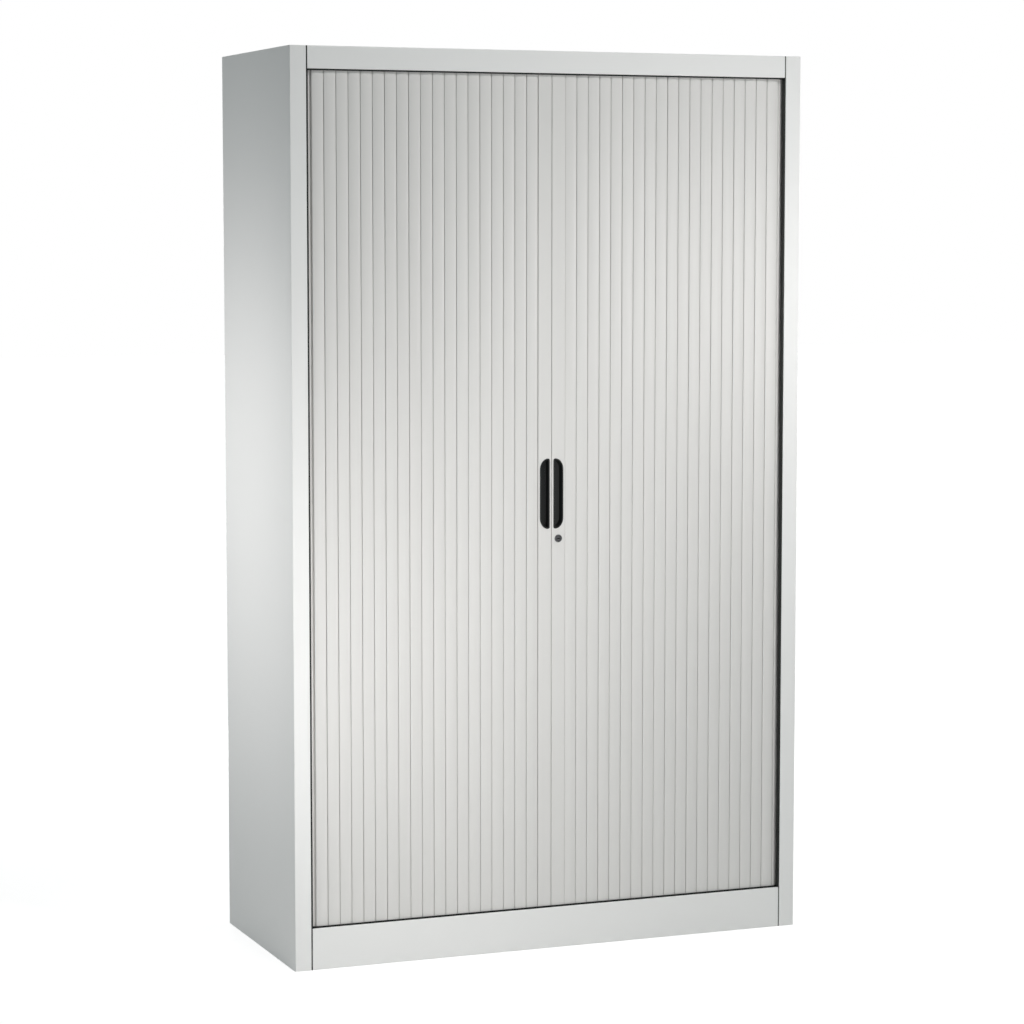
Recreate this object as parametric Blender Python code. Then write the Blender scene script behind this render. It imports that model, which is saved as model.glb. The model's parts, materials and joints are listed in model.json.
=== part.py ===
"""A tall steel cupboard with two side-opening tambour doors, as separate pieces.

Units are metres. +Z is up, the front faces -Y, and the origin is the middle of the
base. Sheet parts are folded profiles carried along a straight run. Each curtain is a
row of slats on thin hinges that turns round its corner into the side of the cabinet,
inside a track that goes on round the rear corner and along the back.
"""

import math

import bmesh
import bpy
import numpy as np

# Outside sizes
cabinet_width = 1.200
cabinet_height = 1.980
cabinet_depth = 0.500

# Folded sheet
sheet = 0.001
inner_bend = 0.001
clearance = 0.0003
running_clearance = 0.0005
seam_gap = 0.0006
cut_overrun = 0.002

# Casing
flange_width = 0.037
flange_return = 0.007
rail_height = 0.048
rail_hem = 0.005
plinth_height = 0.091
plinth_hem = 0.004
plinth_foot = 0.020
deck_height = 0.070
deck_flange = 0.025
top_rear_flange = 0.020

# Slats and the corner that they turn
slat_recess = 0.009
slat_pitch = 0.0272
slat_depth = 0.0085
slat_crown = 0.0018
slat_edge_drop = 0.0012
slat_web = 0.0010
slat_groove = 0.0012
corner_inset = 0.060
corner_radius = 0.045
tail_length = 0.070
slat_top_play = 0.010

# Tracks
track_wall = 0.003
track_lip = 0.0033
rear_run_length = 0.200
rear_pocket_gap = 0.012

# Edge seals
seal_width = 0.003
seal_fin = 0.002
seal_recess = 0.0005
seal_hook_depth = 0.002
seal_hook_reach = 0.003

# Lead slats
meeting_gap = 0.001
lead_width = 0.0312
lead_wall = 0.0015
glide_length = 0.030
glide_chamfer = 0.001
carrier_margin = 0.015
spigot_length = 0.015
spigot_web = 0.002
spigot_ramp = 0.002

# Grips
grip_inset = 0.0040
grip_width = 0.0232
grip_height = 0.155
grip_middle = 1.0155
grip_outer_corner = 0.019
grip_outer_rise = 0.024
grip_inner_corner = 0.0042
grip_rim = 0.0012
grip_rim_thickness = 0.0010
grip_wall = 0.0015
grip_depth = 0.014
grip_draft = 0.0006

# Lock
lock_drop = 0.022
bezel_radius = 0.0085
bezel_projection = 0.0025
bezel_round = 0.0010
barrel_radius = 0.0070
plug_radius = 0.0047
plug_recess = 0.0004
keyhole_width = 0.0016
keyhole_length = 0.0062
keyhole_depth = 0.0050
nut_across_flats = 0.020
nut_thickness = 0.004
hook_thickness = 0.002
hook_hub_radius = 0.006
hook_arm_width = 0.008
hook_reach = 0.029
hook_beak = 0.004
strike_play = 0.0012
strike_drop = 0.0005
strike_height = 0.018
strike_leg = 0.008
strike_inset = 0.0006
hook_catch_turn = math.radians(20)

# Inner panels
liner_flange = 0.020
liner_front_gap = 0.004
liner_gap = 0.0003
rear_flange = 0.030

# Shelves and their clips
shelf_count = 4
shelf_spacing = 0.375
shelf_fold = 0.025
shelf_return = 0.012
shelf_end_gap = 0.0026
slot_spacing_share = 1 / 5
slot_width = 0.014
slot_height = 0.008
slot_margin = 0.040
clip_plate = 0.0015
clip_tongue = 0.014
clip_plate_height = 0.020
clip_hook_drop = 0.004
clip_hook = 0.0015
clip_inset = 0.035

# Fineness
bend_segments = 3
track_segments = 7
grip_corner_segments = 5
turned_segments = 24
hook_segments = 6
crown_shares = (0.0, 0.08, 0.25, 0.5, 0.75, 0.92, 1.0)
crown_power = 2
edge_power = 12
solve_steps = 50

# Places that follow from the sizes
half_width = cabinet_width / 2
front = -cabinet_depth / 2
back = cabinet_depth / 2
outer_bend = inner_bend + sheet
opening_edge = half_width - flange_width
rail_end = opening_edge - seal_fin - 2 * clearance
wall_inside = half_width - sheet - clearance
under_top = cabinet_height - sheet - clearance
on_deck = deck_height + clearance
panel_front = front + sheet + clearance
back_panel_rear = back - sheet - clearance
rear_edge = back_panel_rear - sheet - clearance
slat_front = front + slat_recess
slat_back = slat_front + slat_depth
corner_x = half_width - corner_inset
front_corner_y = slat_front + corner_radius
rear_corner_y = back_panel_rear - sheet - rear_pocket_gap - corner_radius
hinge_radius = corner_radius - slat_depth
corner_sag = hinge_radius - math.sqrt(hinge_radius**2 - (slat_pitch / 2) ** 2)
groove_width = slat_depth + corner_sag + 2 * running_clearance
track_inner_radius = corner_radius + running_clearance - groove_width - track_wall
track_side = corner_x + track_inner_radius
lip_bottom = cabinet_height - rail_height - track_lip
lip_top = plinth_height + track_lip
slat_floor = on_deck + track_wall + clearance
slat_ceiling = under_top - track_wall - slat_top_play
lead_inner_edge = meeting_gap / 2
lead_outer_edge = lead_inner_edge + lead_width
liner_outside = track_side - liner_gap
liner_corner_radius = track_inner_radius - liner_gap
liner_front = front_corner_y + liner_front_gap
liner_rear = rear_corner_y + liner_corner_radius
inner_back_rear = liner_rear - sheet - clearance
shelf_front = liner_front + sheet + clearance
shelf_rear = inner_back_rear - sheet - clearance
shelf_end = liner_outside - sheet - shelf_end_gap
lock_x = lead_inner_edge + lead_width / 2
lock_middle = grip_middle - grip_height / 2 - lock_drop
carrier_low = lock_middle - nut_across_flats / 2 - carrier_margin
carrier_high = grip_middle + grip_height / 2 + carrier_margin


def clear_scene():
    """Remove whatever the new file holds."""
    for item in list(bpy.data.objects):
        bpy.data.objects.remove(item)


def finish_material(name, colour, roughness, metallic=0.0):
    """A plain Principled finish."""
    material = bpy.data.materials.new(name)
    material.use_nodes = True
    shader = material.node_tree.nodes["Principled BSDF"]
    shader.inputs["Base Color"].default_value = (*colour, 1.0)
    shader.inputs["Roughness"].default_value = roughness
    shader.inputs["Metallic"].default_value = metallic
    material.diffuse_color = (*colour, 1.0)
    return material


LACQUER = ((0.84, 0.84, 0.825), 0.36)
SLAT_PLASTIC = ((0.71, 0.705, 0.69), 0.42)
BLACK_PLASTIC = ((0.012, 0.012, 0.013), 0.45)
ZINC = ((0.55, 0.56, 0.57), 0.35, 1.0)
CHROME = ((0.62, 0.62, 0.63), 0.18, 1.0)


def new_piece(name, points, faces, finish):
    """Make one closed object of these points and faces, with all faces turned outwards."""
    mesh = bpy.data.meshes.new(name)
    mesh.from_pydata([tuple(map(float, point)) for point in points], [], faces)
    shape = bmesh.new()
    shape.from_mesh(mesh)
    bmesh.ops.recalc_face_normals(shape, faces=shape.faces)
    if shape.calc_volume(signed=True) < 0:
        bmesh.ops.reverse_faces(shape, faces=shape.faces)
    shape.to_mesh(mesh)
    shape.free()
    piece = bpy.data.objects.new(name, mesh)
    bpy.context.scene.collection.objects.link(piece)
    mesh.materials.append(finish_material(name, *finish))
    return piece


def loft(name, loops, finish, ring=False):
    """Join loops of equally many points in order; a ring joins the last to the first."""
    loops = np.asarray(loops, dtype=float)
    count, size = loops.shape[:2]
    index = np.arange(count * size).reshape(count, size)
    following = np.roll(index, -1, axis=0) if ring else index[1:]
    first = index if ring else index[:-1]
    quads = np.stack(
        (first, np.roll(first, -1, axis=1), np.roll(following, -1, axis=1), following),
        axis=-1,
    )
    faces = quads.reshape(-1, 4).tolist()
    if not ring:
        faces += [index[0][::-1].tolist(), index[-1].tolist()]
    return new_piece(name, loops.reshape(-1, 3), faces, finish)


def placed(outline, axis, at):
    """Points of a flat outline at one place along an axis: y-z, x-z or x-y points."""
    return np.insert(np.asarray(outline, dtype=float), "xyz".index(axis), at, axis=1)


def prism(name, outline, axis, start, end, finish=ZINC):
    """Carry a closed outline along an axis."""
    return loft(name, (placed(outline, axis, start), placed(outline, axis, end)), finish)


def rectangle(low_a, high_a, low_b, high_b):
    """Corners of a rectangle."""
    return [(low_a, low_b), (high_a, low_b), (high_a, high_b), (low_a, high_b)]


def folded(corners, radii=None, thickness=sheet):
    """Outline of a folded strip, from the corners of its outer face, sheet on their left.

    Each corner becomes an arc. The inner face shares the arcs' centres.
    """
    corners = np.asarray(corners, dtype=float)
    steps = np.diff(corners, axis=0)
    directions = steps / np.linalg.norm(steps, axis=1)[:, None]
    normals = np.column_stack((-directions[:, 1], directions[:, 0]))
    if radii is None:
        radii = [inner_bend + thickness] * (len(corners) - 2)
    outer = [corners[0]]
    inner = [corners[0] + thickness * normals[0]]
    for corner, radius, before, after in zip(corners[1:-1], radii, normals, normals[1:]):
        centre = corner + radius * (before + after) / (1 + before @ after)
        start = math.atan2(before[1], before[0])
        turn = math.atan2(before[0] * after[1] - before[1] * after[0], before @ after)
        for angle in np.linspace(start, start + turn, bend_segments + 1):
            normal = np.array((math.cos(angle), math.sin(angle)))
            outer.append(centre - radius * normal)
            inner.append(centre - (radius - thickness) * normal)
    outer.append(corners[-1])
    inner.append(corners[-1] + thickness * normals[-1])
    return np.array(outer + inner[::-1])


def mirrored(outline, side):
    """An x-y or x-z outline of the right-hand side, or its mirror image for side -1."""
    return np.asarray(outline, dtype=float) * (side, 1)


def cut(piece, cutter):
    """Take the cutter's shape out of a piece."""
    cutter.hide_render = True
    cutter.display_type = "WIRE"
    modifier = piece.modifiers.new(cutter.name, "BOOLEAN")
    modifier.operation = "DIFFERENCE"
    modifier.solver = "EXACT"
    modifier.object = cutter


def side_name(side):
    """Left or right as seen from the front."""
    return "right" if side > 0 else "left"


def carrier(name, place):
    """An empty on a joint's axis, which carries the pieces that move with it."""
    empty = bpy.data.objects.new(name, None)
    empty.location = place
    bpy.context.scene.collection.objects.link(empty)
    return empty


def carry(empty, pieces):
    """Hang finished pieces on a carrier without moving them."""
    bpy.context.view_layer.update()
    for piece in pieces:
        piece.parent = empty
        piece.matrix_parent_inverse = empty.matrix_world.inverted()


def make_side_panel(side):
    """Side wall, rear flange and front flange with its return, in one folded sheet."""
    path = [
        (opening_edge, front + flange_return),
        (opening_edge, front),
        (half_width, front),
        (half_width, back),
        (opening_edge, back),
    ]
    name = side_name(side) + "_side_panel"
    return prism(name, mirrored(folded(path), side), "z", 0, cabinet_height, LACQUER)


def flange_notches(piece, rail_too):
    """Clear the front corners of a full-width panel round the side panels' flanges."""
    past_front = front - cut_overrun
    past_wall = half_width + cut_overrun
    past_return = front + flange_return + clearance
    past_fold = opening_edge + sheet + seam_gap
    past_bend = panel_front + inner_bend
    for side in (-1, 1):
        outline = [
            (rail_end, past_front),
            (past_wall, past_front),
            (past_wall, past_bend),
            (past_fold, past_bend),
            (past_fold, past_return),
            (rail_end, past_return),
        ]
        name = f"{piece.name}_{side_name(side)}_notch"
        top = cabinet_height + cut_overrun
        cut(piece, prism(name, mirrored(outline, side), "z", -cut_overrun, top))
        if rail_too:
            hem_rear = front + rail_hem + cut_overrun
            box = rectangle(rail_end, past_wall, past_front, hem_rear)
            top = cabinet_height - outer_bend
            cut(piece, prism(name + "_rail", mirrored(box, side), "z", -cut_overrun, top))


def make_top_panel():
    """Top sheet with the front rail and its hem folded down, and a short rear flange."""
    rail_bottom = cabinet_height - rail_height
    path = [
        (front + rail_hem, rail_bottom),
        (front, rail_bottom),
        (front, cabinet_height),
        (rear_edge, cabinet_height),
        (rear_edge, cabinet_height - top_rear_flange),
    ]
    outline = folded(path[::-1])
    panel = prism("top_panel", outline, "x", -wall_inside, wall_inside, LACQUER)
    flange_notches(panel, rail_too=True)
    return panel


def make_deck():
    """Floor of the inside, on which the tracks and the inner panels stand."""
    path = [
        (panel_front, deck_height - deck_flange),
        (panel_front, deck_height),
        (rear_edge, deck_height),
        (rear_edge, deck_height - deck_flange),
    ]
    outline = folded(path[::-1])
    deck = prism("base_deck", outline, "x", -wall_inside, wall_inside, LACQUER)
    flange_notches(deck, rail_too=False)
    return deck


def make_plinth():
    """Front of the base between the side flanges, with a hem above and a foot below."""
    path = [
        (front + plinth_hem, plinth_height),
        (front, plinth_height),
        (front, 0),
        (front + plinth_foot, 0),
    ]
    return prism("plinth", folded(path), "x", -rail_end, rail_end, LACQUER)


def make_back_panels():
    """Outer back between the side walls, and the inner back that closes the rear pocket."""
    edge = wall_inside - inner_bend
    outline = rectangle(-edge, edge, back_panel_rear - sheet, back_panel_rear)
    prism("back_panel", outline, "z", 0, cabinet_height, LACQUER)
    edge = corner_x - clearance
    outline = rectangle(-edge, edge, inner_back_rear - sheet, inner_back_rear)
    prism("inner_back_panel", outline, "z", on_deck, under_top, LACQUER)


def slot_heights():
    """Heights of the slots' lower edges: an even row that every shelf height falls on."""
    pitch = shelf_spacing * slot_spacing_share
    first = clip_slot(deck_height + shelf_spacing)
    below = math.floor((first - on_deck - slot_margin) / pitch)
    above = math.floor((under_top - slot_margin - slot_height - first) / pitch)
    return [first + pitch * step for step in range(-below, above + 1)]


def clip_slot(shelf_top):
    """Lower edge of the slot that a shelf's clip hooks into."""
    return shelf_top - sheet - clearance - clip_plate - slot_height


def clip_places():
    """Middles of the front and the rear row of slots."""
    return (shelf_front + clip_inset, rear_corner_y - clip_inset)


def make_liner(side):
    """Inner side wall: front flange, slotted wall, and a rear corner round the track."""
    path = [
        (liner_outside - liner_flange, liner_front),
        (liner_outside, liner_front),
        (liner_outside, liner_rear),
        (liner_outside - liner_corner_radius - rear_flange, liner_rear),
    ]
    outline = mirrored(folded(path, (outer_bend, liner_corner_radius)), side)
    name = side_name(side) + "_liner"
    liner = prism(name, outline, "z", on_deck, under_top, LACQUER)
    inside = side * (liner_outside - sheet - cut_overrun)
    outside = side * (liner_outside + cut_overrun)
    points = []
    faces = []
    for middle in clip_places():
        for low in slot_heights():
            box = rectangle(
                middle - slot_width / 2, middle + slot_width / 2, low, low + slot_height
            )
            base = len(points)
            points += [*placed(box, "x", inside), *placed(box, "x", outside)]
            faces += [[base + 3, base + 2, base + 1, base], [base + n for n in (4, 5, 6, 7)]]
            faces += [
                [base + n, base + (n + 1) % 4, base + 4 + (n + 1) % 4, base + 4 + n]
                for n in range(4)
            ]
    cut(liner, new_piece(name + "_slots", points, faces, ZINC))
    return liner


def shelf_tops():
    """Heights of the shelves' upper faces."""
    return [deck_height + shelf_spacing * number for number in range(1, shelf_count + 1)]


def make_shelves():
    """Folded steel shelves whose rear corners clear the rounded corners of the liners."""
    corner_cutters = []
    for side in (-1, 1):
        box = rectangle(
            corner_x - clearance,
            shelf_end + cut_overrun,
            rear_corner_y - clearance,
            shelf_rear + cut_overrun,
        )
        name = side_name(side) + "_shelf_corner"
        corner_cutters.append(prism(name, mirrored(box, side), "z", 0, cabinet_height))
    for number, top in enumerate(shelf_tops(), 1):
        path = [
            (shelf_front + shelf_return, top - shelf_fold),
            (shelf_front, top - shelf_fold),
            (shelf_front, top),
            (shelf_rear, top),
            (shelf_rear, top - shelf_fold),
        ]
        name = f"shelf_{number}"
        shelf = prism(name, folded(path[::-1]), "x", -shelf_end, shelf_end, LACQUER)
        for cutter in corner_cutters:
            cut(shelf, cutter)


def make_clips():
    """Hook-in clips: a tongue under the shelf, a plate, and a hook behind the liner."""
    inside = liner_outside - sheet - clearance
    behind = liner_outside + clearance
    width = slot_width - 2 * clearance
    number = 0
    for top in shelf_tops():
        slot = clip_slot(top)
        tongue_top = top - sheet - clearance
        neck_bottom = slot + clearance
        neck_top = slot + slot_height - clearance
        outline = [
            (inside - clip_plate - clip_tongue, tongue_top),
            (inside - clip_plate - clip_tongue, tongue_top - clip_plate),
            (inside - clip_plate, tongue_top - clip_plate),
            (inside - clip_plate, tongue_top - clip_plate_height),
            (inside, tongue_top - clip_plate_height),
            (inside, neck_bottom),
            (behind, neck_bottom),
            (behind, neck_bottom - clip_hook_drop),
            (behind + clip_hook, neck_bottom - clip_hook_drop),
            (behind + clip_hook, neck_top),
            (inside, neck_top),
            (inside, tongue_top),
        ]
        for side in (-1, 1):
            for middle in clip_places():
                number += 1
                low = middle - width / 2
                prism(f"shelf_clip_{number:02d}", mirrored(outline, side), "y", low, low + width)


def track_stations():
    """Points of the slats' front line and directions to its inner side, right-hand door."""
    stations = [((0, slat_front), (0, 1))]
    for centre_y, start in ((front_corner_y, -math.pi / 2), (rear_corner_y, 0)):
        for angle in np.linspace(start, start + math.pi / 2, track_segments + 1):
            outward = np.array((math.cos(angle), math.sin(angle)))
            point = np.array((corner_x, centre_y)) + corner_radius * outward
            stations.append((point, -outward))
    end = (corner_x - rear_run_length, rear_corner_y + corner_radius)
    stations.append((end, (0, -1)))
    return stations


def make_track(side, name, web, lip, inner_lip):
    """U-shaped guide swept along the door's run. web is its closed end's height."""
    groove_end = web + math.copysign(track_wall, lip - web)
    outer = -running_clearance - track_wall
    profile = [
        (outer, web),
        (outer, lip),
        (outer + track_wall, lip),
        (outer + track_wall, groove_end),
        (outer + track_wall + groove_width, groove_end),
        (outer + track_wall + groove_width, inner_lip),
        (outer + 2 * track_wall + groove_width, inner_lip),
        (outer + 2 * track_wall + groove_width, web),
    ]
    loops = []
    for number, (point, inward) in enumerate(track_stations()):
        point = np.array(point, dtype=float)
        if number == 0:
            point[0] += clearance / 2
        ring = []
        for offset, height in profile:
            x, y = point + offset * np.array(inward)
            ring.append((side * x, y, height))
        loops.append(ring)
    return loft(f"{name}_track_{side_name(side)}", loops, BLACK_PLASTIC)


def make_tracks(side):
    """Top and bottom guide of one door."""
    rail_bottom = cabinet_height - rail_height
    make_track(side, "top", under_top, lip_bottom, rail_bottom)
    make_track(side, "bottom", on_deck, lip_top, plinth_height)


def make_edge_seal(side):
    """Black strip hooked behind the side flange's return.

    In the opening it is a lip that covers the curtain's edge. Above and below, only a thin
    fin goes on, between the flange and the ends of the rail and the plinth.
    """
    hook_front = front + flange_return + clearance
    hook_rear = hook_front + seal_hook_depth
    outer = opening_edge - clearance
    inner = outer - seal_width
    hook_end = opening_edge + seal_hook_reach
    outline = [
        (inner, front + seal_recess),
        (outer, front + seal_recess),
        (outer, hook_front),
        (hook_end, hook_front),
        (hook_end, hook_rear),
        (inner, hook_rear),
    ]
    name = side_name(side) + "_edge_seal"
    seal = prism(name, mirrored(outline, side), "z", 0, cabinet_height, BLACK_PLASTIC)
    beside_fin = [
        (inner - cut_overrun, front),
        (outer - seal_fin, front),
        (outer - seal_fin, front + flange_return),
        (hook_end + cut_overrun, front + flange_return),
        (hook_end + cut_overrun, hook_rear + cut_overrun),
        (inner - cut_overrun, hook_rear + cut_overrun),
    ]
    plinth_zone = (-cut_overrun, plinth_height + clearance)
    rail_zone = (cabinet_height - rail_height - clearance, cabinet_height + cut_overrun)
    for zone, (low, high) in (("plinth", plinth_zone), ("rail", rail_zone)):
        cut(seal, prism(f"{name}_{zone}_cut", mirrored(beside_fin, side), "z", low, high))
    return seal


def hinge_point(length):
    """Point of the hinge line at a length from the middle: straight, arc, straight."""
    arc = hinge_radius * math.pi / 2
    if length <= corner_x:
        return np.array((length, slat_back))
    if length <= corner_x + arc:
        angle = (length - corner_x) / hinge_radius
        x = corner_x + hinge_radius * math.sin(angle)
        return np.array((x, front_corner_y - hinge_radius * math.cos(angle)))
    return np.array((corner_x + hinge_radius, front_corner_y + length - corner_x - arc))


def hinge_points():
    """Hinges of the closed curtain, one slat pitch apart in a straight line each."""
    length = lead_outer_edge + clearance
    end = corner_x + hinge_radius * math.pi / 2 + tail_length
    points = [hinge_point(length)]
    while length < end:
        low, high = length, length + 2 * slat_pitch
        for _ in range(solve_steps):
            middle = (low + high) / 2
            reach = np.linalg.norm(hinge_point(middle) - points[-1])
            low, high = (middle, high) if reach < slat_pitch else (low, middle)
        length = high
        points.append(hinge_point(length))
    return points


def slat_front_points(start, end):
    """Front of one slat between its hinges: groove edge, crowned face, groove edge."""
    along = (end - start) / np.linalg.norm(end - start)
    outward = np.array((along[1], -along[0]))
    face = slat_pitch - slat_groove
    local = [(slat_groove / 2, slat_web)]
    for share in crown_shares:
        away = abs(2 * share - 1)
        drop = slat_crown * away**crown_power + slat_edge_drop * away**edge_power
        local.append((slat_groove / 2 + share * face, slat_depth - drop))
    local.append((slat_pitch - slat_groove / 2, slat_web))
    return [start + u * along + v * outward for u, v in local]


def make_curtain(side):
    """All slats of one door with the thin hinges that join them at the back."""
    hinges = hinge_points()
    outline = []
    for start, end in zip(hinges, hinges[1:]):
        outline += slat_front_points(start, end)
    outline += hinges[::-1]
    name = side_name(side) + "_curtain"
    return prism(
        name, mirrored(outline, side), "z", slat_floor, slat_ceiling, SLAT_PLASTIC
    )


def grip_outline(inset):
    """The grip's D shape, drawn in by inset: small corners inside, tall ones outside."""
    low_x = lead_inner_edge + grip_inset + inset
    high_x = lead_inner_edge + grip_inset + grip_width - inset
    low_z = grip_middle - grip_height / 2 + inset
    high_z = grip_middle + grip_height / 2 - inset
    small = grip_inner_corner - inset
    wide = min(grip_outer_corner, grip_width - grip_inner_corner) - inset
    tall = grip_outer_rise - inset
    corners = (
        (high_x - wide, low_z + tall, wide, tall, -math.pi / 2),
        (high_x - wide, high_z - tall, wide, tall, 0),
        (low_x + small, high_z - small, small, small, math.pi / 2),
        (low_x + small, low_z + small, small, small, math.pi),
    )
    points = []
    for x, z, across, up, start in corners:
        for angle in np.linspace(start, start + math.pi / 2, grip_corner_segments + 1):
            points.append((x + across * math.cos(angle), z + up * math.sin(angle)))
    return points


def make_grip(side):
    """Recessed cup with a thin rim on the face of the lead slat."""
    cup = grip_rim + clearance
    pocket = cup + grip_wall
    rim_back = slat_front - clearance
    rim_front = rim_back - grip_rim_thickness
    floor = slat_front + grip_depth
    sections = (
        (cup + grip_draft, floor + grip_wall),
        (cup, rim_back),
        (0, rim_back),
        (0, rim_front),
        (pocket, rim_front),
        (pocket + grip_draft, floor),
    )
    loops = [
        placed(mirrored(grip_outline(inset), side), "y", depth) for inset, depth in sections
    ]
    return loft(side_name(side) + "_grip", loops, BLACK_PLASTIC)


def lead_channel(side, wall_face, wall_back, end=slat_back):
    """Outline of a channel, open at the back, whose wall lies between two depths."""
    path = [
        (lead_inner_edge + wall_face, end),
        (lead_inner_edge + wall_face, slat_front + wall_face),
        (lead_outer_edge - wall_face, slat_front + wall_face),
        (lead_outer_edge - wall_face, end),
    ]
    radius = inner_bend + wall_back - wall_face
    outline = folded(path, (radius, radius), thickness=wall_back - wall_face)
    return mirrored(outline, side)


def make_lead_slats(side):
    """Upper and lower channel of the lead slat, which push onto the grip carrier's ends."""
    outline = lead_channel(side, 0, lead_wall)
    ends = (
        ("lower", slat_floor + running_clearance, carrier_low - clearance),
        ("upper", carrier_high + clearance, slat_ceiling),
    )
    return [
        prism(f"{side_name(side)}_{end}_lead_slat", outline, "z", low, high, SLAT_PLASTIC)
        for end, low, high in ends
    ]


def make_grip_carrier(side):
    """Channel that holds the grip and the lock, with a spigot at each end."""
    inside = lead_wall + clearance
    channel = lead_channel(side, 0, lead_wall)
    thick = lead_channel(side, 0, inside + lead_wall + clearance)
    spigot = lead_channel(side, inside, inside + lead_wall, slat_back - clearance)
    sections = (
        (spigot, carrier_low - spigot_length),
        (spigot, carrier_low),
        (thick, carrier_low),
        (thick, carrier_low + spigot_web),
        (channel, carrier_low + spigot_web + spigot_ramp),
        (channel, carrier_high - spigot_web - spigot_ramp),
        (thick, carrier_high - spigot_web),
        (thick, carrier_high),
        (spigot, carrier_high),
        (spigot, carrier_high + spigot_length),
    )
    loops = [placed(outline, "z", height) for outline, height in sections]
    frame = loft(side_name(side) + "_grip_carrier", loops, SLAT_PLASTIC)
    before = slat_front - cut_overrun
    behind = slat_front + lead_wall + cut_overrun
    aperture = mirrored(grip_outline(grip_rim), side)
    cut(frame, prism(frame.name + "_grip_hole", aperture, "y", before, behind))
    if side > 0:
        hole = circle(barrel_radius + clearance)
        cut(frame, prism(frame.name + "_lock_hole", hole, "y", before, behind))
    return frame


def make_glides(side):
    """Plastic guides that fill the two ends of a lead slat and run in the tracks."""
    low_x = lead_inner_edge + lead_wall + clearance
    high_x = lead_outer_edge - lead_wall - clearance
    low_y = slat_front + lead_wall + clearance
    chamfer = glide_chamfer + inner_bend
    outline = [
        (low_x + chamfer, low_y),
        (high_x - chamfer, low_y),
        (high_x, low_y + chamfer),
        (high_x, slat_back),
        (low_x, slat_back),
        (low_x, low_y + chamfer),
    ]
    outline = mirrored(outline, side)
    ends = (
        ("bottom", slat_floor, slat_floor + glide_length),
        ("top", slat_ceiling - glide_length, slat_ceiling + slat_top_play / 2),
    )
    return [
        prism(f"{side_name(side)}_{end}_glide", outline, "z", low, high, BLACK_PLASTIC)
        for end, low, high in ends
    ]


def circle(radius):
    """Round outline on the lock's axis."""
    angles = np.arange(turned_segments) * math.tau / turned_segments
    return np.column_stack(
        (lock_x + radius * np.cos(angles), lock_middle + radius * np.sin(angles))
    )


def hexagon(across_flats):
    """Hexagon on the lock's axis, with as many points as a circle has."""
    angles = np.arange(turned_segments) * math.tau / turned_segments
    flat = math.tau / 6
    off_flat = (angles + flat / 2) % flat - flat / 2
    radius = across_flats / 2 / np.cos(off_flat)
    return np.column_stack(
        (lock_x + radius * np.cos(angles), lock_middle + radius * np.sin(angles))
    )


def turned(name, sections, finish, ring=False):
    """Turned piece on the lock's axis, from pairs of outline and depth."""
    loops = [placed(outline, "y", depth) for outline, depth in sections]
    piece = loft(name, loops, finish, ring)
    piece.data.shade_smooth()
    piece.data.set_sharp_from_angle(angle=math.radians(30))
    return piece


def make_lock_barrel():
    """Housing with its bezel, and the nut that holds it in the lead slat's wall."""
    seat = slat_front - clearance
    face = slat_front - bezel_projection
    bore = circle(plug_radius + clearance)
    rear = slat_back - clearance
    housing = turned(
        "lock_housing",
        (
            (circle(barrel_radius), rear),
            (circle(barrel_radius), seat),
            (circle(bezel_radius), seat),
            (circle(bezel_radius), face + bezel_round),
            (circle(bezel_radius - bezel_round), face),
            (bore, face),
            (bore, rear),
        ),
        CHROME,
        ring=True,
    )
    nut_front = slat_front + lead_wall + clearance
    hole = circle(barrel_radius + clearance)
    nut = turned(
        "lock_nut",
        (
            (hexagon(nut_across_flats), nut_front),
            (hexagon(nut_across_flats), nut_front + nut_thickness),
            (hole, nut_front + nut_thickness),
            (hole, nut_front),
        ),
        ZINC,
        ring=True,
    )
    return [housing, nut]


def make_lock_plug():
    """Plug that the key turns, with a level keyhole."""
    face = slat_front - bezel_projection + plug_recess
    plug = turned(
        "lock_plug", ((circle(plug_radius), face), (circle(plug_radius), slat_back)), CHROME
    )
    keyhole = rectangle(
        lock_x - keyhole_length / 2,
        lock_x + keyhole_length / 2,
        lock_middle - keyhole_width / 2,
        lock_middle + keyhole_width / 2,
    )
    bottom = face + keyhole_depth
    cut(plug, prism("keyhole", keyhole, "y", face - cut_overrun, bottom))
    return plug


def arc(radius, start, end):
    """Points of an arc round the lock's axis."""
    angles = np.linspace(start, end, hook_segments + 1)
    return [
        (lock_x + radius * math.cos(angle), lock_middle + radius * math.sin(angle))
        for angle in angles
    ]


def make_lock_hook():
    """Hook on the plug's end, hanging down when unlocked. Its beak is round the axis."""
    half_arm = hook_arm_width / 2
    down = -math.pi / 2
    outer = hook_reach + hook_beak
    outline = arc(hook_hub_radius, 0, math.pi)
    inner_start = down - math.asin(half_arm / hook_reach)
    tip = down - hook_catch_turn
    outline += [(lock_x - half_arm, lock_middle - hook_hub_radius)]
    outline += arc(hook_reach, inner_start, tip)
    outline += arc(outer, tip, down + math.asin(half_arm / outer))
    outline += [(lock_x + half_arm, lock_middle - hook_hub_radius)]
    near = slat_back + clearance
    return prism("lock_hook", outline, "y", near, near + hook_thickness)


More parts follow.
